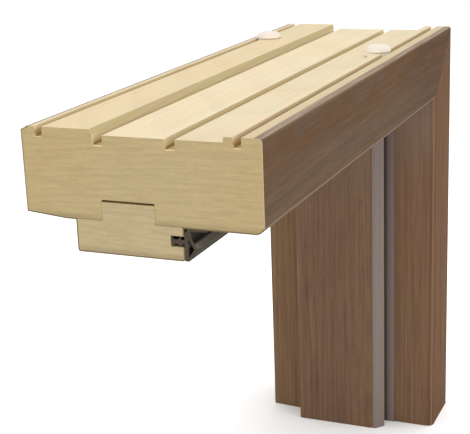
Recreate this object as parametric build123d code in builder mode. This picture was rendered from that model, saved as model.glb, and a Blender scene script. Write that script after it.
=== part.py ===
"""Corner sample of a veneered timber door frame: a head mitred to one jamb, both sawn short.

Millimetres, +Z up. X runs along the head and is 0 on the wall-side face of the jamb, Y runs
through the depth of the frame and grows towards its back, Z is up the jamb. The origin lies on
the wide wall-side strip of the jamb.
"""
import os
from build123d import *

# Overall sizes of the sample
frame_depth = 120.0
frame_thickness = 43.0
head_length = 350.0
jamb_height = 278.0
origin_below_head_top = 140.0

# Wall side of the section: the front half is measured from the front face of the frame, the
# back half from its back face
recess_depth = 2.5
front_step = 18.2
back_strip_width = 35.8
trim_groove_width = 4.0
trim_groove_depth = 5.0
front_trim_groove = 9.8
back_trim_groove_inset = 7.2
relief_groove_width = 5.2
relief_groove_depth = 5.0
front_relief_groove = 41.4
back_step_run = 1.4

# Corners of the section
top_front_radius = 2.0
bottom_front_radius = 4.5
back_chamfer_along = 3.3
back_chamfer_down = 1.7
back_bevel_along = 21.0
back_bevel_up = 2.0

# Veneer and the glue line under it
veneer = 0.6
glue_line = 0.05
veneer_turn_in = 4.4

# Stop with its tongue, set from the front face by the depth of the door rebate
door_rebate = 39.0
stop_width = 55.0
stop_height = 15.5
stop_corner_radius = 1.2
tongue_width = 26.8
tongue_height = 9.2
tongue_end_gap = 1.2
tongue_side_gap = 0.15
shoulder_gap = 0.2

# Seal groove in the front side of the stop
seal_groove_height = 5.2
seal_groove_depth = 6.8
seal_groove_centre = 6.3

# Extruded seal: reach is measured out from the stop, drop from the underside of the frame
seal_web = 2.0
seal_barb_clearance = 0.15
seal_barb_length = 1.7
seal_tip_length = 1.2
seal_flange = 1.9
seal_wall = 1.2
seal_wall_bow = 0.9
seal_nose_reach = 6.6
seal_nose_drop = 9.0
seal_nose_flat = 0.5
seal_nose_wall = 1.9
seal_foot_wall = 1.8
seal_hollow_drop = 4.8
seal_lip_reach = 11.3
seal_lip = 0.9
seal_lip_tip = 0.7
seal_corner_drop = 2.6
seal_seat_gap = 0.15

# Corner connectors under the two white caps, whose heads swell out over narrower spigots
connector_bore = 15.6
connector_clearance = 0.2
cap_swell = 0.5
cap_swell_rise = 0.9
cap_belly = 1.2
cap_bevel_run = 0.6
cap_bevel_rise = 1.2
cap_crown_run = 1.4
cap_crown_rise = 0.7
cap_proud = 4.5
cap_depth = 5.0
cam_depth = 30.0
cam_slot_width = 1.4
cam_slot_depth = 2.0
bolt_depth = 24.0
bolt_diameter = 6.0
bolt_clearance = 0.15
bolt_thread_in_jamb = 13.0
back_connector_from_end = 70.0
back_connector_from_back = 14.4
front_connector_from_end = 115.0
front_connector_from_front = 17.8

# Positions that follow from the sizes
back_step = frame_depth - back_strip_width
back_trim_groove = frame_depth - back_trim_groove_inset - trim_groove_width
back_relief_groove = back_step - back_step_run - relief_groove_width
strip_centre = (back_step + back_trim_groove) / 2
head_top = origin_below_head_top
jamb_foot = head_top - jamb_height
skin = veneer + glue_line
stop_front = door_rebate
stop_back = door_rebate + stop_width
stop_centre = door_rebate + stop_width / 2
slot_depth = tongue_height + tongue_end_gap
cap_radius = connector_bore / 2 - connector_clearance
cap_spigot_radius = cap_radius - cap_swell

# Both members share one section, drawn with x = depth from the front face and y = distance
# from the wall-side face, and one mitre plane through the outer corner
head_plane = Plane(origin=(0, -strip_centre, head_top), x_dir=(0, 1, 0), z_dir=(-1, 0, 0))
jamb_plane = Plane(origin=(0, -strip_centre, jamb_foot), x_dir=(0, 1, 0), z_dir=(0, 0, 1))
mitre_plane = Plane(origin=(0, 0, head_top), x_dir=(0, 1, 0), z_dir=(-1, 0, 1))
members = {
    "head": (head_plane, head_length, Keep.TOP),
    "jamb": (jamb_plane, jamb_height, Keep.BOTTOM),
}

os.makedirs("parts", exist_ok=True)


def save(part, name):
    part.label = name
    export_step(part, f"parts/{name}.step")


def frame_outline():
    """Outer outline of the section over the veneer, before recess, grooves and slot."""
    with BuildSketch() as outline:
        with BuildLine():
            Polyline(
                (0, 0),
                (frame_depth - back_chamfer_along, 0),
                (frame_depth, back_chamfer_down),
                (frame_depth, frame_thickness - back_bevel_up),
                (frame_depth - back_bevel_along, frame_thickness),
                (0, frame_thickness),
                (0, 0),
            )
        make_face()
        for corner, radius in ((-1, bottom_front_radius), (0, top_front_radius)):
            front_corners = outline.vertices().group_by(Axis.X)[0].sort_by(Axis.Y)
            fillet(front_corners[corner], radius)
    return outline.sketch


def band(left, right, top, bottom, mode=Mode.ADD):
    """Rectangle between two depths from the front face and two distances from the wall side."""
    with Locations(((left + right) / 2, (top + bottom) / 2)):
        return Rectangle(right - left, bottom - top, mode=mode)


def core_section():
    """Wood core: the outline less the veneer, with the wall-side recess, grooves and slot."""
    bare_from = veneer_turn_in + glue_line
    bare_to = frame_depth - back_chamfer_along - skin
    slot_half = tongue_width / 2 + tongue_side_gap
    with BuildSketch() as section:
        add(offset(frame_outline(), amount=-skin, kind=Kind.INTERSECTION, mode=Mode.PRIVATE))
        band(bare_from, bare_to, 0, 2 * skin)
        with BuildLine():
            Polyline(
                (front_step, 0),
                (back_step, 0),
                (back_step - back_step_run, recess_depth),
                (front_step, recess_depth),
                (front_step, 0),
            )
        make_face(mode=Mode.SUBTRACT)
        for left in (front_trim_groove, back_trim_groove):
            band(left, left + trim_groove_width, -skin, trim_groove_depth, mode=Mode.SUBTRACT)
        for left in (front_relief_groove, back_relief_groove):
            right = left + relief_groove_width
            band(left, right, 0, recess_depth + relief_groove_depth, mode=Mode.SUBTRACT)
        band(
            stop_centre - slot_half,
            stop_centre + slot_half,
            frame_thickness - slot_depth,
            frame_thickness,
            mode=Mode.SUBTRACT,
        )
    return section.sketch


def veneer_section(side):
    """Veneer skin on one side of the frame, from its turn-in on the wall side to the stop."""
    half = frame_thickness / 2
    with BuildSketch() as section:
        add(frame_outline())
        add(
            offset(frame_outline(), amount=-veneer, kind=Kind.INTERSECTION, mode=Mode.PRIVATE),
            mode=Mode.SUBTRACT,
        )
        if side == "front":
            band(veneer_turn_in, frame_depth, -veneer, half, mode=Mode.SUBTRACT)
            band(stop_front - glue_line, frame_depth, 0, frame_thickness, mode=Mode.SUBTRACT)
        else:
            band(0, frame_depth - back_chamfer_along, -veneer, half, mode=Mode.SUBTRACT)
            band(0, stop_back + glue_line, 0, frame_thickness, mode=Mode.SUBTRACT)
    return section.sketch


def stop_outline():
    """Outer outline of the stop over its veneer, with its two foot corners rounded."""
    with BuildSketch() as outline:
        band(stop_front, stop_back, frame_thickness, frame_thickness + stop_height)
        fillet(outline.vertices().group_by(Axis.Y)[-1], stop_corner_radius)
    return outline.sketch


def stop_section():
    """Core of the stop: a T whose tongue fits the slot of the frame, with the seal groove."""
    top = frame_thickness
    groove = top + seal_groove_centre
    shoulder = top - skin + shoulder_gap
    with BuildSketch() as section:
        add(offset(stop_outline(), amount=-skin, kind=Kind.INTERSECTION, mode=Mode.PRIVATE))
        band(stop_front + skin, stop_back - skin, shoulder, top + stop_height / 2)
        band(
            stop_centre - tongue_width / 2,
            stop_centre + tongue_width / 2,
            top - tongue_height,
            top,
        )
        band(
            stop_front,
            stop_front + seal_groove_depth,
            groove - seal_groove_height / 2,
            groove + seal_groove_height / 2,
            mode=Mode.SUBTRACT,
        )
    return section.sketch


def stop_veneer_section():
    """Veneer round the three open sides of the stop, slotted where the seal goes in."""
    top = frame_thickness
    groove = top + seal_groove_centre
    inner_left = stop_front + veneer
    inner_right = stop_back - veneer
    with BuildSketch() as section:
        add(stop_outline())
        add(
            offset(stop_outline(), amount=-veneer, kind=Kind.INTERSECTION, mode=Mode.PRIVATE),
            mode=Mode.SUBTRACT,
        )
        band(inner_left, inner_right, top, top + stop_height / 2, mode=Mode.SUBTRACT)
        band(
            stop_front,
            stop_front + seal_groove_depth,
            groove - seal_groove_height / 2,
            groove + seal_groove_height / 2,
            mode=Mode.SUBTRACT,
        )
    return section.sketch


def seal_section():
    """Extruded seal: barbed stem, flange on the stop, lip under the rebate and hollow bulb."""
    face = stop_front
    top = frame_thickness
    flange = face - seal_flange
    lip_end = face - seal_lip_reach
    lip_top = top + seal_seat_gap
    throat = (flange - seal_wall, lip_top + seal_lip)
    nose = (face - seal_nose_reach, top + seal_nose_drop)
    waist = ((throat[0] + nose[0]) / 2 + seal_wall_bow, (throat[1] + nose[1]) / 2)
    foot = top + stop_height - seal_seat_gap
    with BuildSketch() as section:
        with BuildLine():
            ThreePointArc(throat, waist, nose)
            Polyline(
                nose,
                (nose[0], nose[1] + seal_nose_flat),
                (flange, foot),
                (face, foot),
                (face, top + seal_corner_drop),
                (flange, lip_top),
                (lip_end, lip_top),
                (lip_end, lip_top + seal_lip_tip),
                throat,
            )
        make_face()
        with BuildLine():
            Polyline(
                (flange, top + seal_hollow_drop),
                (nose[0] + seal_nose_wall, nose[1] + seal_nose_flat),
                (flange, foot - seal_foot_wall),
                (flange, top + seal_hollow_drop),
            )
        make_face(mode=Mode.SUBTRACT)
        add(seal_stem_section())
    return section.sketch


def seal_stem_section():
    """Stem of the seal in its groove: a web with a barb halfway and one at its tip."""
    face = stop_front
    axis = frame_thickness + seal_groove_centre
    web = seal_web / 2
    barb = seal_groove_height / 2 - seal_barb_clearance
    tip = face + seal_groove_depth - seal_barb_clearance
    middle = face + seal_groove_depth / 2
    with BuildSketch() as section:
        band(face, tip, axis - web, axis + web)
        for end, length in ((middle, seal_barb_length), (tip, seal_tip_length)):
            with BuildLine():
                Polyline(
                    (end - length, axis - barb),
                    (end, axis - web),
                    (end, axis + web),
                    (end - length, axis + barb),
                    (end - length, axis - barb),
                )
            make_face()
    return section.sketch


def connector_plane(from_end, from_front, depth):
    """Plane square to the head at one connector, a given depth below the wall side."""
    return Plane(
        origin=(-from_end, from_front - strip_centre, head_top - depth),
        x_dir=(1, 0, 0),
        z_dir=(0, 0, 1),
    )


connectors = {
    "back": (back_connector_from_end, frame_depth - back_connector_from_back),
    "front": (front_connector_from_end, front_connector_from_front),
}


def bolt_plane(from_end, from_front):
    """Plane at the cam with its normal along the head towards the jamb."""
    return Plane(
        origin=(-from_end, from_front - strip_centre, head_top - bolt_depth),
        x_dir=(0, 1, 0),
        z_dir=(1, 0, 0),
    )


def bolt_length(from_end):
    """From the cam's axis through the mitre into the jamb."""
    return from_end - bolt_depth + bolt_thread_in_jamb


def drill_for_connectors(cams):
    """Cuts the bolt holes, and in the head the cam bores too."""
    for from_end, from_front in connectors.values():
        if cams:
            with BuildSketch(connector_plane(from_end, from_front, cam_depth)) as bore:
                Circle(connector_bore / 2)
            extrude(bore.sketch, amount=2 * cam_depth, mode=Mode.SUBTRACT)
        with BuildSketch(bolt_plane(from_end, from_front)) as hole:
            Circle(bolt_diameter / 2 + bolt_clearance)
        extrude(hole.sketch, amount=bolt_length(from_end) + bolt_clearance, mode=Mode.SUBTRACT)


for member, (plane, length, side) in members.items():
    sections = {
        "core": core_section(),
        "front_veneer": veneer_section("front"),
        "back_veneer": veneer_section("back"),
        "stop": stop_section(),
        "stop_veneer": stop_veneer_section(),
        "seal": seal_section(),
    }
    for piece, section in sections.items():
        with BuildPart() as strip:
            with BuildSketch(plane):
                add(section)
            extrude(amount=length)
            split(bisect_by=mitre_plane, keep=side)
            if piece == "core":
                drill_for_connectors(cams=member == "head")
        save(strip.part, f"{member}_{piece}")

belly_top = cap_swell_rise + cap_belly
bevel_top = (cap_radius - cap_bevel_run, belly_top + cap_bevel_rise)
crown = (bevel_top[0] - cap_crown_run, bevel_top[1] + cap_crown_rise)

for place, (from_end, from_front) in connectors.items():
    with BuildPart() as cap:
        seat = connector_plane(from_end, from_front, 0)
        with BuildSketch(Plane(origin=seat.origin, x_dir=(1, 0, 0), z_dir=(0, -1, 0))):
            with BuildLine():
                Polyline(
                    (0, cap_proud),
                    (0, -cap_depth),
                    (cap_spigot_radius, -cap_depth),
                    (cap_spigot_radius, 0),
                    (cap_radius, cap_swell_rise),
                    (cap_radius, belly_top),
                    bevel_top,
                    crown,
                )
                TangentArc((0, cap_proud), crown, tangent=(1, 0))
            make_face()
        revolve(axis=Axis(seat.origin, seat.z_dir))
    save(cap.part, f"connector_cap_{place}")

    with BuildPart() as cam:
        with BuildSketch(connector_plane(from_end, from_front, cam_depth - connector_clearance)):
            Circle(cap_radius)
        extrude(amount=cam_depth - cap_depth - 2 * connector_clearance)
        with BuildSketch(connector_plane(from_end, from_front, cap_depth + connector_clearance)):
            for turn in (0, 90):
                SlotOverall(connector_bore / 2, cam_slot_width, rotation=turn)
        extrude(amount=-cam_slot_depth, mode=Mode.SUBTRACT)
        with BuildSketch(bolt_plane(from_end, from_front)):
            Circle(bolt_diameter / 2 + bolt_clearance)
        extrude(amount=connector_bore, mode=Mode.SUBTRACT)
    save(cam.part, f"connector_cam_{place}")

    with BuildPart() as bolt:
        with BuildSketch(bolt_plane(from_end, from_front)):
            Circle(bolt_diameter / 2)
        extrude(amount=bolt_length(from_end))
        chamfer(bolt.faces().sort_by(Axis.X)[-1].edges(), bolt_diameter / 6)
    save(bolt.part, f"connector_bolt_{place}")
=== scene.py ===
"""Looks of the door frame corner sample: bare cores, walnut veneers, stops, seals and caps."""
from math import radians

import bpy
from mathutils import Euler, Matrix, Vector


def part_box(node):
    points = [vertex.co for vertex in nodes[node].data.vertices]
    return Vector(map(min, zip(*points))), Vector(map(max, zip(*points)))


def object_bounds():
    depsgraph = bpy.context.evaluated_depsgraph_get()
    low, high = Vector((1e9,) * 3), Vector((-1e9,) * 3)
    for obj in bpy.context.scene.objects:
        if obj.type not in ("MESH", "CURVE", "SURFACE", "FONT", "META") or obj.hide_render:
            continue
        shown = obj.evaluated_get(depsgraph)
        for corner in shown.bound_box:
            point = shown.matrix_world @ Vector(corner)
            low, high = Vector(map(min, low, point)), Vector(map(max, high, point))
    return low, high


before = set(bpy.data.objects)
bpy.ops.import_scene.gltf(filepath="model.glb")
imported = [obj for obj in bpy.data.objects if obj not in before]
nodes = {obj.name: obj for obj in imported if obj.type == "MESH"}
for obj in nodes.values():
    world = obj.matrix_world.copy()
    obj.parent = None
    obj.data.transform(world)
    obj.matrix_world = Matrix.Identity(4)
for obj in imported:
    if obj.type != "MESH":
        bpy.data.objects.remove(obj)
cad_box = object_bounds()

# Camera. It stands in front of the frame and to the left of the doorway, a little above the
# head, and looks along the head towards the jamb.
camera_place = Vector((-0.81457, -0.28302, 0.25388))
camera_azimuth = 293.34
camera_elevation = 16.447
camera_roll = -2.187
lens_mm = 92.72
sensor_mm = 36.0

camera_data = bpy.data.cameras.new("camera")
camera_data.lens = lens_mm
camera_data.sensor_width = sensor_mm
camera_data.sensor_fit = "HORIZONTAL"
camera = bpy.data.objects.new("camera", camera_data)
aim = Euler((radians(90 - camera_elevation), 0, radians(camera_azimuth))).to_matrix()
aim = aim @ Matrix.Rotation(radians(camera_roll), 3, "Z")
camera.matrix_world = Matrix.Translation(camera_place) @ aim.to_4x4()
bpy.context.scene.collection.objects.link(camera)
bpy.context.scene.camera = camera


# Cores of head and jamb. The real pieces are planed from a pale, fine-grained wood with no
# finish, grooved on the wall side and sawn square at the free ends, where end grain shows. The
# wall side is duller in front, and lacquer has stained its rim beside the back veneer. The
# grooves carry painted shade that deepens down their walls, with a painted highlight at their
# rim by the sawn end. The sloped step is painted darker as shade, the slot of the stop is lifted
# with painted warm bounce light, and the sawn end carries painted shade along its lower edge.
X, Y, Z = 0, 1, 2
MIX_FACTOR, MIX_FIRST, MIX_SECOND, MIX_RESULT = 0, 6, 7, 2
edge_blur = 0.0001


class Wire:
    """One socket of a material. Python's operators on it add Math nodes."""

    def __init__(self, tree, socket=None):
        self.tree = tree
        self.socket = socket

    def node(self, kind, settings, inputs, output=0):
        """Adds a node: its settings first, then the numbers, colours or wires of its sockets."""
        made = self.tree.nodes.new(kind)
        for name, value in settings.items():
            setattr(made, name, value)
        for name, value in inputs.items():
            if isinstance(value, Wire):
                self.tree.links.new(value.socket, made.inputs[name])
            else:
                made.inputs[name].default_value = value
        return Wire(self.tree, made.outputs[output])

    def math(self, operation, first, second=0.0):
        return self.node("ShaderNodeMath", {"operation": operation}, {0: first, 1: second})

    def __add__(self, other):
        return self.math("ADD", self, other)

    __radd__ = __add__

    def __sub__(self, other):
        return self.math("SUBTRACT", self, other)

    def __rsub__(self, other):
        return self.math("SUBTRACT", other, self)

    def __neg__(self):
        return self.math("SUBTRACT", 0.0, self)

    def __mul__(self, other):
        return self.math("MULTIPLY", self, other)

    __rmul__ = __mul__

    def __truediv__(self, other):
        return self.math("DIVIDE", self, other)

    def __pow__(self, other):
        return self.math("POWER", self, other)

    def fraction(self):
        return self.math("FRACT", self)

    def above(self, low, high):
        """0 below low, 1 above high and a smooth rise between them."""
        settings = {"interpolation_type": "SMOOTHSTEP"}
        inputs = {"Value": self, "From Min": low, "From Max": high}
        return self.node("ShaderNodeMapRange", settings, inputs)

    def past(self, place):
        """0 before a place and 1 past it, with a fine blur between."""
        return self.above(place - edge_blur, place + edge_blur)

    def spread(self, low=0.3, high=0.7):
        """A noise, whose values crowd round the middle, drawn out to reach 0 and 1."""
        return self.above(low, high)

    def parts(self):
        """X, Y and Z of a vector."""
        return [self.node("ShaderNodeSeparateXYZ", {}, {0: self}, axis) for axis in (X, Y, Z)]

    def stretched(self, scale):
        """The vector with each of its parts multiplied by one of three numbers."""
        return self.node("ShaderNodeVectorMath", {"operation": "MULTIPLY"}, {0: self, 1: scale})

    def moved(self, step):
        """The vector with three numbers added, so that one noise gives another pattern."""
        return self.node("ShaderNodeVectorMath", {"operation": "ADD"}, {0: self, 1: step})

    def shaded(self, amount):
        """The colour made lighter or darker by a value round 1."""
        settings = {"operation": "SCALE"}
        return self.node("ShaderNodeVectorMath", settings, {0: self, "Scale": amount})

    def noise(self, scale=1.0, detail=2.0):
        """Soft random values from 0 to 1 at this vector."""
        inputs = {"Vector": self, "Scale": scale, "Detail": detail}
        return self.node("ShaderNodeTexNoise", {}, inputs)

    def mix(self, first, second):
        """First colour where this value is 0, second where it is 1."""
        inputs = {MIX_FACTOR: self, MIX_FIRST: first, MIX_SECOND: second}
        return self.node("ShaderNodeMix", {"data_type": "RGBA"}, inputs, MIX_RESULT)


def colour(red, green, blue):
    """Linear colour of the screen values 0 to 255 that a swatch of the material has."""
    linear = []
    for value in (red / 255, green / 255, blue / 255):
        linear.append(value / 12.92 if value <= 0.04045 else ((value + 0.055) / 1.055) ** 2.4)
    return (*linear, 1.0)


def warmer(tone):
    """The same wood a shade redder, for its soft clouds."""
    red, green, blue, alpha = tone
    return (red * 1.01, green * 0.965, blue * 0.93, alpha)


def new_material(name, **constants):
    """A material with one glossy shader, its constant values set, and its coordinates."""
    material = bpy.data.materials.new(name)
    material.use_nodes = True
    tree = material.node_tree
    shader = tree.nodes["Principled BSDF"]
    for socket, value in constants.items():
        shader.inputs[socket.replace("_", " ")].default_value = value
    place = Wire(tree).node("ShaderNodeTexCoord", {}, {}, "Object")
    return material, shader, place


def finish(shader, base, roughness, height, bump_distance):
    """Links what changes over the surface: colour, roughness and fine relief."""
    tree = base.tree
    normal = base.node("ShaderNodeBump", {}, {"Height": height, "Distance": bump_distance})
    tree.links.new(base.socket, shader.inputs["Base Color"])
    tree.links.new(roughness.socket, shader.inputs["Roughness"])
    tree.links.new(normal.socket, shader.inputs["Normal"])


def dress(material, *names):
    """Gives the CAD nodes this one material."""
    for name in names:
        mesh = nodes[name].data
        mesh.materials.clear()
        mesh.materials.append(material)


def surface_normal(place):
    """X, Y and Z of the direction that the surface faces."""
    return place.node("ShaderNodeTexCoord", {}, {}, "Normal").parts()


def square_on(facing, begins=0.92):
    """1 where a face looks straight along a direction and 0 where it is turned away from it."""
    return facing.above(begins, 0.98)


def sawn_across(normal, along):
    """1 on the faces that are sawn across the piece."""
    return (normal[along] * normal[along]).above(0.5, 0.9)


def grain(place, along, repeats, detail=2.0):
    """Random streaks, with a number of repeats a metre along the grain and one across it."""
    scale = [repeats[1]] * 3
    scale[along] = repeats[0]
    return place.stretched(tuple(scale)).noise(detail=detail)


def late_wood(ring, peak):
    """Dark late wood, which builds up through each growth ring to its peak and then stops."""
    return ring.above(0.4, peak) * (1 - ring.above(peak, 1.0))


# Sizes of the section in metres. The strips of the wall side are measured from its front or back.
frame_thickness = 0.043
front_lip_width = 0.0098
relief_reach = 0.02
duller_reach = 0.0414
back_strip_width = 0.0358
stain_reach = 0.0048
recess_depth = 0.0025
wall_side = {X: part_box("jamb_core")[1][X], Z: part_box("head_core")[1][Z]}
underside = {axis: place - frame_thickness for axis, place in wall_side.items()}
front_edge = cad_box[0][Y]
front_lip = front_edge + front_lip_width
relief_from = front_edge + relief_reach
duller_to = front_edge + duller_reach
strip_from = cad_box[1][Y] - back_strip_width
stain_from = cad_box[1][Y] - stain_reach

# Ranges over which painted light and shade fade: the painted shade down a groove's wall, the
# painted highlight in from the free end, the painted shade up from the lower edge of the sawn
# end, and by how far the slope behind the recess is turned to the wall
lit_depth = 0.003
unlit_depths = (0.0032, 0.0042)
lit_from_end = (0.0012, 0.002)
shaded_lower_edge = (0.0005, 0.0042)
slope_starts = (0.3, 0.42)
slope_ends = (0.6, 0.75)

# Patterns of the wood: repeats a metre along and across the grain, or one number for both
core_streaks = (9.0, 330.0)
core_fibres = (90.0, 3000.0)
core_mottle = (120.0, 300.0)
saw_lines = (1000.0, 90.0)
saw_axis = {X: Z, Z: X}
core_clouds = 19.0
core_speckle = 1300.0
ring_spacing = 0.0031
ring_wander = 0.004
ring_waves = (4.0, 30.0)
log_lean = (0.03, 0.05)
core_relief = 0.0001

bare_face = colour(186, 173, 145)
front_face = colour(169, 153, 121)
rear_face = colour(180, 165, 133)
lacquer_stain = colour(155, 145, 126)
# The groove tones are painted light and shade: each wall lit at its lip and in painted shade at its
# foot, a painted shadow deep in the groove, and a painted highlight at its rim by the sawn end.
lit_wall_lip = colour(222, 204, 163)
wall_foot_shade = colour(184, 153, 114)
relief_foot_shade = colour(202, 184, 138)
groove_shadow = colour(156, 131, 84)
groove_rim_highlight = colour(205, 188, 142)
# The slope's tone is painted shade, darker so that the top light doesn't lift it.
slope_shade = colour(170, 154, 113)
# The joint's tone is painted light: a warmer, lighter wood that lifts the shade in the slot to
# brown.
joint_bounce_light = colour(196, 174, 132)
bare_cut = colour(170, 152, 112)


def growth_rings(place, along, pith):
    """Place in its growth ring, 0 to 1, in a log whose pith lies off the piece and leans."""
    parts = place.parts()
    first, second = [parts[axis] for axis in (X, Y, Z) if axis != along]
    first_off = first - pith[0] - parts[along] * log_lean[0]
    second_off = second - pith[1] - parts[along] * log_lean[1]
    reach = (first_off * first_off + second_off * second_off) ** 0.5
    waves = grain(place, along, ring_waves)
    return ((reach + waves * ring_wander) / ring_spacing).fraction()


def planed_face(parts, normal, along, wall, joint_side, clouds, tone):
    """Tones of the planed faces: the wall side's strips, its grooves with their painted shade and
    highlight, and the joint of the stop in painted bounce light.
    """
    in_front = 1 - parts[Y].past(duller_to)
    face = clouds.mix(tone, warmer(tone)).shaded(1 - 0.05 * in_front)
    rear = parts[Y].past(strip_from)
    face = rear.mix(face, clouds.mix(rear_face, warmer(rear_face)))
    face = (1 - parts[Y].past(front_lip)).mix(face, front_face)
    face = parts[Y].past(stain_from).mix(face, lacquer_stain)

    recessed = (1 - rear) * parts[Y].past(relief_from)
    depth = wall_side[wall] - recess_depth * recessed - parts[wall]
    # Painted shade down the groove walls, from lit at the lip to shade at the foot
    groove_wall_shading = depth.above(0.0, lit_depth).mix(lit_wall_lip, recessed.mix(wall_foot_shade, relief_foot_shade))
    face = square_on(-normal[Y]).mix(face, groove_wall_shading)
    # Painted shade on the slope behind the recess
    step_slope = normal[wall].above(*slope_starts) * (1 - normal[wall].above(*slope_ends))
    face = step_slope.mix(face, slope_shade)
    # Painted shadow deep in the grooves, with a painted highlight at their rim by the sawn end
    near_cut = 1 - (parts[along] - cad_box[0][along]).above(*lit_from_end)
    face = depth.above(*unlit_depths).mix(face, near_cut.mix(groove_shadow, groove_rim_highlight))
    # Painted bounce light on the faces of the slot
    return square_on(normal[wall] * joint_side, 0.9).mix(face, joint_bounce_light)


def core_wood(name, along, wall, pith, joint_side, face_tone, cut_tone, lower_edge):
    """Pale planed wood, with end grain and saw marks where it is sawn across, and painted shade
    towards the lower edge of the sawn end.

    The faces that meet in the joint of core and stop look to its joint side, -1 or 1.
    """
    material, shader, place = new_material(name, Specular_IOR_Level=0.2)
    normal = surface_normal(place)
    parts = place.parts()
    late = late_wood(growth_rings(place, along, pith), 0.95)
    streaks = grain(place, along, core_streaks, 3.0).spread()
    fibres = grain(place, along, core_fibres)
    clouds = place.noise(core_clouds).spread()
    speckle = place.noise(core_speckle).spread()
    mottle = grain(place, Y, core_mottle, 3.0).spread()
    saw_marks = grain(place, saw_axis[along], saw_lines).spread()

    face = planed_face(parts, normal, along, wall, joint_side, clouds, face_tone)
    face = face.shaded(1.025 - 0.035 * late - 0.05 * streaks - 0.03 * fibres)

    # Painted shade towards the lower edge of the sawn end
    clear_of_edge_shade = (parts[wall] - lower_edge).above(*shaded_lower_edge)
    cut_shade = 1.13 - 0.04 * late - 0.1 * saw_marks - 0.1 * speckle - 0.05 * mottle
    cut_shade = cut_shade * (0.76 + 0.24 * clear_of_edge_shade)
    cut = clouds.mix(cut_tone, warmer(cut_tone)).shaded(cut_shade)

    sawn = sawn_across(normal, along)
    rough = 0.6 + 0.2 * sawn + 0.06 * streaks
    relief = 0.4 * fibres + 0.3 * late + sawn * (0.5 * speckle + 0.5 * saw_marks)
    finish(shader, sawn.mix(face, cut), rough, relief, core_relief)
    return material


head_core_wood = core_wood(
    "head_core_wood",
    along=X,
    wall=Z,
    pith=(-0.06, -0.5),
    joint_side=-1,
    face_tone=bare_face,
    cut_tone=bare_cut,
    lower_edge=underside[Z],
)
jamb_core_wood = core_wood(
    "jamb_core_wood",
    along=Z,
    wall=X,
    pith=(0.5, -0.06),
    joint_side=-1,
    face_tone=bare_face,
    cut_tone=bare_cut,
    lower_edge=underside[X],
)
dress(head_core_wood, "head_core")
dress(jamb_core_wood, "jamb_core")


# Stops. Each is a T of the same pale wood, a shade pinker, whose tongue is pressed into the slot
# of the core, with a groove in its front side for the seal.
stop_height = 0.0155
stop_face = colour(184, 168, 139)
stop_cut = colour(171, 154, 119)

head_stop_wood = core_wood(
    "head_stop_wood",
    along=X,
    wall=Z,
    pith=(0.02, -0.4),
    joint_side=1,
    face_tone=stop_face,
    cut_tone=stop_cut,
    lower_edge=underside[Z] - stop_height,
)
jamb_stop_wood = core_wood(
    "jamb_stop_wood",
    along=Z,
    wall=X,
    pith=(0.4, 0.02),
    joint_side=1,
    face_tone=stop_face,
    cut_tone=stop_cut,
    lower_edge=underside[X] - stop_height,
)
dress(head_stop_wood, "head_stop")
dress(jamb_stop_wood, "jamb_stop")


# Veneers of the frame. Walnut 0.6 mm thick is glued round the front and the back of each core,
# with its grain along the piece, lacquered matt, and turned in over the wall side, where its grey
# tone is a painted reflection of the surround. Its arrises are paler than its faces, partly wear
# and partly a painted highlight, with a line of painted shade next to them. The front faces are
# painted darker as shade. Towards the mitre the head's front turns darker, and the jamb's rebate
# is painted lighter, a painted light in the shade under the head.
walnut_ring = 0.0042
walnut_lean = 0.03
girth_waver = 0.003
walnut_relief = 0.00005
under_end_starts = 0.004
under_end_full = 0.002

# The heart of each front sheet: down from the wall side, or past the inner arris
head_heart_down = 0.012
jamb_heart_past = 0.005

# Patterns of the walnut: repeats a metre along and across the grain
waver_lines = (6.0, 25.0)
walnut_streaks = (10.0, 420.0)
walnut_flecks = (70.0, 620.0)
walnut_fine = (22.0, 1200.0)
walnut_broad = (6.0, 150.0)
walnut_hairs = (120.0, 2600.0)
walnut_pores = (240.0, 4600.0)
walnut_pale = (14.0, 560.0)
walnut_clouds = (40.0, 75.0)
turned_in_lines = (30.0, 700.0)

# The turned-in tones are a painted reflection: the grey that the lacquer would mirror from the
# white surround.
turned_in_reflection = colour(116, 102, 88)
turned_in_pale_reflection = colour(134, 120, 104)
under_end = colour(112, 99, 72)
front_end = colour(184, 160, 130)
back_end = colour(140, 128, 103)
head_hues = (colour(105, 79, 57), colour(110, 89, 71), colour(106, 86, 70))
jamb_hues = (colour(115, 87, 67), colour(115, 90, 68), colour(114, 88, 69))
back_hues = (colour(116, 88, 65), colour(117, 92, 68), colour(114, 89, 70))
# Front faces, painted darker as shade: the front catches more light than the sides.
head_front_shade = (0.77, 0.765, 0.755)
jamb_front_shade = (0.82, 0.74, 0.69)

# Arrises: the tone of the arris, paler from wear and a painted highlight, the tone of the sheet's
# sawn end, and how far round the rubbing goes
head_edges = (colour(120, 102, 86), front_end, 0.2, 0.84)
jamb_edges = (colour(120, 96, 74), front_end, 0.48, 0.7)
back_edges = (colour(138, 119, 99), back_end, 0.52, 0.78)

# Towards the mitre: where the shift starts and ends, its shares in front and at the sides, its tone
head_mitre = (-0.19, -0.05, 0.28, 0.0, colour(72, 50, 34))
# The jamb's rebate turns paler towards the head: a painted light in the shade under it.
jamb_mitre_light = (0.03, 0.1, 0.0, 0.42, colour(140, 124, 112))


def on_sheet(sheet, repeats, detail=2.0):
    """Random pattern on a sheet, with its repeats a metre along and across the grain."""
    return sheet.stretched((*repeats, 0.0)).noise(detail=detail)


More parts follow.
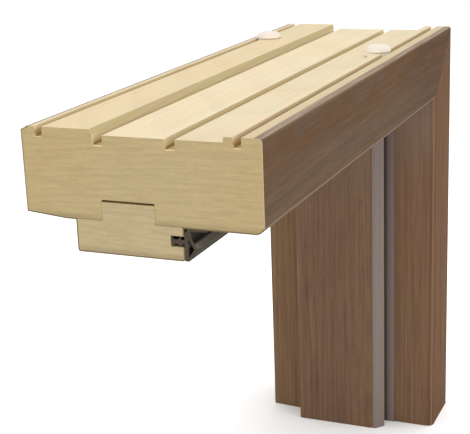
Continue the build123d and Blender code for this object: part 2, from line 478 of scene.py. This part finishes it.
def highlit_rubbed_arris(base, normal, wall, worn_and_highlit, rub_low, rub_high):
    """The arris between front and inner side, paler from wear and a painted highlight, with a
    darker line of painted shade next to it.
    """
    inward = -normal[wall]
    inner_side = inward.above(rub_high, rub_high + 0.08)
    turning = (-normal[Y]).above(0.15, 0.4)
    rubbed_and_highlit = turning * inward.above(rub_low, rub_low + 0.12) * (1 - inner_side)
    # Painted shade: a darker line next to the arris
    shade_beside = (-normal[Y]).above(0.02, 0.3) * inner_side
    return rubbed_and_highlit.mix(base.shaded(1 - 0.27 * shade_beside), worn_and_highlit)


def toned_to_mitre(base, run, facing_front, mitre):
    """The colour shifted to another tone along the piece, by one share in front and one beside."""
    starts, ends, front_share, side_share, tone = mitre
    share = side_share + (front_share - side_share) * facing_front
    return (run.above(starts, ends) * share).mix(base, tone)


def walnut(name, along, wall, turn, heart, reach, hues, figure, edges, front_shade=None, mitre=None):
    """Walnut veneer, red at the heart of the sheet and olive beyond its reach, with mauve clouds.

    The sheet runs along the piece and turns round its arrises, and girth is the way across it.
    Figure is how strongly its streaks show.
    """
    material, shader, place = new_material(name, Specular_IOR_Level=0.005)
    red, olive, mauve = hues
    worn_and_highlit, side_end, rub_low, rub_high = edges
    normal = surface_normal(place)
    parts = place.parts()
    run = parts[along]
    girth = parts[Y] + parts[wall] * turn
    flat = place.node("ShaderNodeCombineXYZ", {}, {0: run, 1: girth})
    girth = girth + girth_waver * on_sheet(flat, waver_lines)
    sheet = place.node("ShaderNodeCombineXYZ", {}, {0: run, 1: girth})

    late = late_wood(((girth + run * walnut_lean) / walnut_ring).fraction(), 0.92)
    streaks = on_sheet(sheet, walnut_streaks).spread(0.32, 0.68)
    flecks = on_sheet(sheet, walnut_flecks, 3.0).spread(0.32, 0.68)
    fine = on_sheet(sheet, walnut_fine).spread()
    broad = on_sheet(sheet, walnut_broad).spread()
    hairs = on_sheet(sheet, walnut_hairs).spread()
    pores = on_sheet(sheet, walnut_pores, 1.0).above(0.62, 0.72)
    pale = sheet.stretched((*walnut_pale, 0.0)).moved((3.0, 0.0, 0.0)).noise(detail=1.0)
    uneven = 0.04 * late + 0.2 * streaks + 0.09 * flecks + 0.13 * fine + 0.08 * broad
    uneven = uneven + 0.05 * hairs + 0.08 * pores - 0.22 * pale.above(0.6, 0.74)

    off_heart = (girth - heart) / reach
    bands = (0.6 * off_heart * off_heart + 0.5 * broad + 0.3 * streaks).above(0.3, 1.1)
    clouds = on_sheet(flat, walnut_clouds, 3.0).above(0.42, 0.72)
    base = clouds.mix(bands.mix(red, olive), mauve)
    base = base.shaded(1.0 + figure * (0.28 - uneven))
    facing_front = (-normal[Y]).above(0.6, 0.95)
    # Painted shade on the front faces
    if front_shade:
        base = facing_front.mix(base, base.stretched(front_shade))
    if mitre:
        base = toned_to_mitre(base, run, facing_front, mitre)
    base = highlit_rubbed_arris(base, normal, wall, worn_and_highlit, rub_low, rub_high)

    # Painted reflection where the veneer turns in over the wall side
    over_wall_side = normal[wall].above(0.68, 0.88)
    turned_in_sheen = on_sheet(sheet, turned_in_lines).spread().mix(turned_in_reflection, turned_in_pale_reflection)
    base = over_wall_side.mix(base, turned_in_sheen)
    height = (parts[wall] - underside[wall]).above(under_end_full, under_end_starts)
    base = sawn_across(normal, along).mix(base, height.mix(under_end, side_end))
    rough = 0.46 + 0.1 * streaks + 0.15 * pores
    finish(shader, base, rough, 0.5 * hairs - 0.8 * pores, walnut_relief)
    return material


head_front_walnut = walnut(
    "head_front_walnut",
    along=X,
    wall=Z,
    turn=-1,
    heart=front_edge - wall_side[Z] + head_heart_down,
    reach=0.014,
    hues=head_hues,
    figure=0.75,
    edges=head_edges,
    front_shade=head_front_shade,
    mitre=head_mitre,
)
head_back_walnut = walnut(
    "head_back_walnut",
    along=X,
    wall=Z,
    turn=1,
    heart=0.15,
    reach=0.02,
    hues=back_hues,
    figure=0.8,
    edges=back_edges,
)
jamb_front_walnut = walnut(
    "jamb_front_walnut",
    along=Z,
    wall=X,
    turn=-1,
    heart=front_edge + frame_thickness + jamb_heart_past,
    reach=0.02,
    hues=jamb_hues,
    figure=1.0,
    edges=jamb_edges,
    front_shade=jamb_front_shade,
    mitre=jamb_mitre_light,
)
jamb_back_walnut = walnut(
    "jamb_back_walnut",
    along=Z,
    wall=X,
    turn=1,
    heart=-0.06,
    reach=0.02,
    hues=back_hues,
    figure=1.0,
    edges=back_edges,
)
dress(head_front_walnut, "head_front_veneer")
dress(head_back_walnut, "head_back_veneer")
dress(jamb_front_walnut, "jamb_front_veneer")
dress(jamb_back_walnut, "jamb_back_veneer")


# Veneers of the stops. They are cut from the next leaf of the same walnut and wrap the three
# open sides of each stop, slotted where the seal is pressed in.
stop_hues = (colour(109, 84, 67), colour(114, 90, 69), colour(106, 82, 68))
stop_edges = (colour(140, 116, 90), colour(150, 136, 108), 0.52, 0.78)
# The jamb's stop turns paler towards the head: a painted light in the shade under it.
stop_mitre_light = (-0.02, 0.09, 0.2, 0.2, colour(134, 118, 106))

head_stop_walnut = walnut(
    "head_stop_walnut",
    along=X,
    wall=Z,
    turn=-1,
    heart=-0.11,
    reach=0.02,
    hues=head_hues,
    figure=0.8,
    edges=stop_edges,
)
jamb_stop_walnut = walnut(
    "jamb_stop_walnut",
    along=Z,
    wall=X,
    turn=-1,
    heart=0.035,
    reach=0.022,
    hues=stop_hues,
    figure=1.0,
    edges=stop_edges,
    mitre=stop_mitre_light,
)
dress(head_stop_walnut, "head_stop_veneer")
dress(jamb_stop_walnut, "jamb_stop_veneer")


# Seals. Each is a soft extruded profile in grey-brown rubber, pressed into the stop by its
# barbed stem and mitred at the corner. Extrusion leaves faint lines along its length. Light and
# shade are painted along the profile: the fold between bulb and lip is painted dark as shade, and
# the head's seal, which faces down, is a darker painted-shade copy of the jamb's.
seal_lines = (3.0, 900.0)
seal_dust = 900.0
seal_relief = 0.00008

# Zones of the profile, as shares of its height from the lip to the bulb, or of its depth
below_lip = (0.08, 0.12)
into_fold = (0.1, 0.4)
into_curl = (0.4, 0.49)
into_bulb = (0.56, 0.62)
fold_ends = 0.42

# Tones of the bulb, curl, fold, lip and cut end, in painted light and shade: the fold painted dark
# as shade, the head's set a darker shaded copy with its curl painted lighter, and the jamb's curl
# painted darker
head_seal_shaded_tones = (
    colour(59, 56, 45),
    colour(110, 105, 92),
    colour(22, 17, 11),
    colour(58, 54, 48),
    colour(72, 64, 54),
)
jamb_seal_lit_tones = (
    colour(126, 114, 107),
    colour(82, 72, 66),
    colour(56, 48, 45),
    colour(122, 107, 101),
    colour(104, 95, 88),
)


def seal_rubber(node, along, wall, fold_starts, tones):
    """Rubber whose tone follows the profile from its lip to its bulb, in painted light and shade.
    """
    bulb, curl, fold, lip, cut_end = tones
    material, shader, place = new_material(node + "_rubber", Specular_IOR_Level=0.05)
    low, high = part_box(node)
    parts = place.parts()
    drop = (high[wall] - parts[wall]) / (high[wall] - low[wall])
    depth = (parts[Y] - low[Y]) / (high[Y] - low[Y])
    # Painted shade in the fold and curl of the profile
    inside = drop.above(*into_fold).mix(lip, fold)
    curled = drop.above(*into_curl).mix(inside, curl)
    under_lip = depth.above(fold_starts, fold_ends).mix(lip, fold)
    base = drop.above(*below_lip).mix(under_lip, curled)
    base = drop.above(*into_bulb).mix(base, bulb)

    lines = grain(place, along, seal_lines)
    dust = place.noise(seal_dust, 3.0)
    shade = 0.9 + 0.1 * lines.spread() + 0.1 * dust
    sawn = sawn_across(surface_normal(place), along)
    base = sawn.mix(base, cut_end).shaded(shade)
    finish(shader, base, 0.55 + 0.15 * dust, 0.5 * lines + 0.3 * dust, seal_relief)
    return material


dress(seal_rubber("head_seal", X, Z, 0.3, head_seal_shaded_tones), "head_seal")
dress(seal_rubber("jamb_seal", Z, X, 0.16, jamb_seal_lit_tones), "jamb_seal")


# Connectors. Two cams and bolts pull the mitre together from inside the head. Their bores are
# closed by round domed caps of white plastic, which stand proud of the wall side.
cap_grit = 5200.0
cap_clouds = 180.0
cap_relief = 0.00003
# Painted light and shade: the flank is painted lighter and the shoulder and crown darker, so that
# the dome looks evenly lit.
flank_painted_light = (colour(246, 237, 226), colour(240, 229, 216))
shoulder_painted_shade = (colour(217, 208, 200), colour(212, 201, 191))
crown_painted_shade = (colour(194, 184, 175), colour(189, 178, 167))
zinc_marks = 1500.0
zinc_relief = 0.00004
zinc_tones = (colour(150, 150, 148), colour(190, 190, 186))


def cap_plastic():
    """White plastic, a little cloudy, with painted light on the flank and painted shade on the
    shoulder and crown.
    """
    material, shader, place = new_material("cap_plastic", Specular_IOR_Level=0.05)
    grit = place.noise(cap_grit)
    cloud = place.noise(cap_clouds)
    upward = surface_normal(place)[Z]
    base = upward.above(0.0, 0.3).mix(cloud.mix(*flank_painted_light), cloud.mix(*shoulder_painted_shade))
    base = upward.above(0.3, 0.9).mix(base, cloud.mix(*crown_painted_shade))
    finish(shader, base, 0.4 + 0.1 * grit, 0.4 * grit, cap_relief)
    return material


def zinc_steel():
    """Turned steel, zinc plated, of the cams and bolts."""
    material, shader, place = new_material("zinc_steel", Metallic=1.0)
    turned = place.noise(zinc_marks, 3.0)
    finish(shader, turned.mix(*zinc_tones), 0.3 + 0.2 * turned, turned, zinc_relief)
    return material


dress(cap_plastic(), "connector_cap_back", "connector_cap_front")
dress(
    zinc_steel(),
    "connector_cam_back",
    "connector_cam_front",
    "connector_bolt_back",
    "connector_bolt_front",
)


# Floor and light. The sample stands on a plain white floor under a large soft light, with an
# even white surround.
floor_reach = 6.0
floor_level = cad_box[0][Z]
floor_white = (0.95, 0.95, 0.95, 1.0)
lamp_place = Vector((-0.3, -0.2, 1.6))
lamp_target = Vector((-0.2, 0.0, 0.0))
lamp_size = 1.6
lamp_watts = 26.0
surround_white = (1.0, 1.0, 1.0, 1.0)

corners = [(-1, -1), (1, -1), (1, 1), (-1, 1)]
floor_points = [(x * floor_reach, y * floor_reach, floor_level) for x, y in corners]
floor_mesh = bpy.data.meshes.new("floor")
floor_mesh.from_pydata(floor_points, [], [(0, 1, 2, 3)])
floor_paint, floor_shader, _ = new_material("floor_paint", Roughness=0.9, Specular_IOR_Level=0.1)
floor_shader.inputs["Base Color"].default_value = floor_white
floor_mesh.materials.append(floor_paint)
floor = bpy.data.objects.new("floor", floor_mesh)
bpy.context.scene.collection.objects.link(floor)

lamp_data = bpy.data.lights.new("top_light", "AREA")
lamp_data.size = lamp_size
lamp_data.energy = lamp_watts
lamp = bpy.data.objects.new("top_light", lamp_data)
lamp_turn = (lamp_target - lamp_place).to_track_quat("-Z", "Y")
lamp.matrix_world = Matrix.Translation(lamp_place) @ lamp_turn.to_matrix().to_4x4()
bpy.context.scene.collection.objects.link(lamp)

surround = bpy.data.worlds.new("surround")
surround.use_nodes = True
surround.node_tree.nodes["Background"].inputs["Color"].default_value = surround_white
surround.node_tree.nodes["Background"].inputs["Strength"].default_value = 1.0
bpy.context.scene.world = surround
bpy.context.scene.view_settings.view_transform = "Standard"
